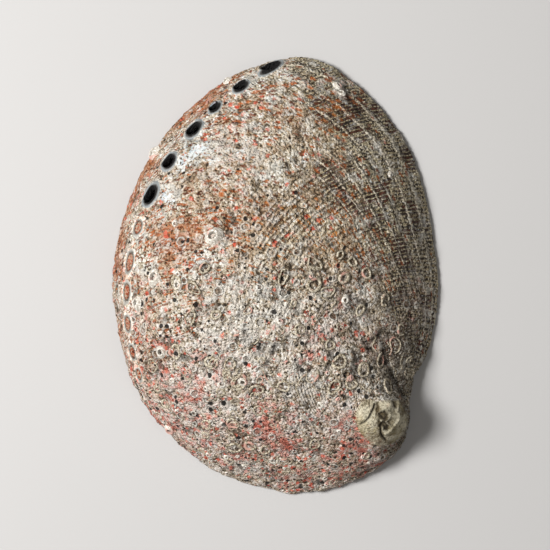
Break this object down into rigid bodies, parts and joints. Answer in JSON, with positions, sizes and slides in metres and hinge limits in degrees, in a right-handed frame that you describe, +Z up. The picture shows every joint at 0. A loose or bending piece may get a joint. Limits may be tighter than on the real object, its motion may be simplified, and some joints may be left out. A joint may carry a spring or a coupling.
{
  "type": "abalone shell",
  "caption": "Low domed ear-shaped sea shell lying mouth down, with a coiled spire at one corner, a row of breathing holes along one side and a pearly hollow underneath",
  "frame": {"origin": "centre of the shell's overall box in plan, on the surface that the rim rests on", "axes": "+Z up, away from the mouth; +Y along the shell's length towards the front end, where the newest hole is; +X towards the side without holes"},
  "size_m": [0.1331, 0.1781, 0.0468],
  "materials": {
    "shell": "rough chalky crust outside, glossy nacre inside"
  },
  "bodies": {
    "root": {"shell": "shell"}
  },
  "joints": []
}
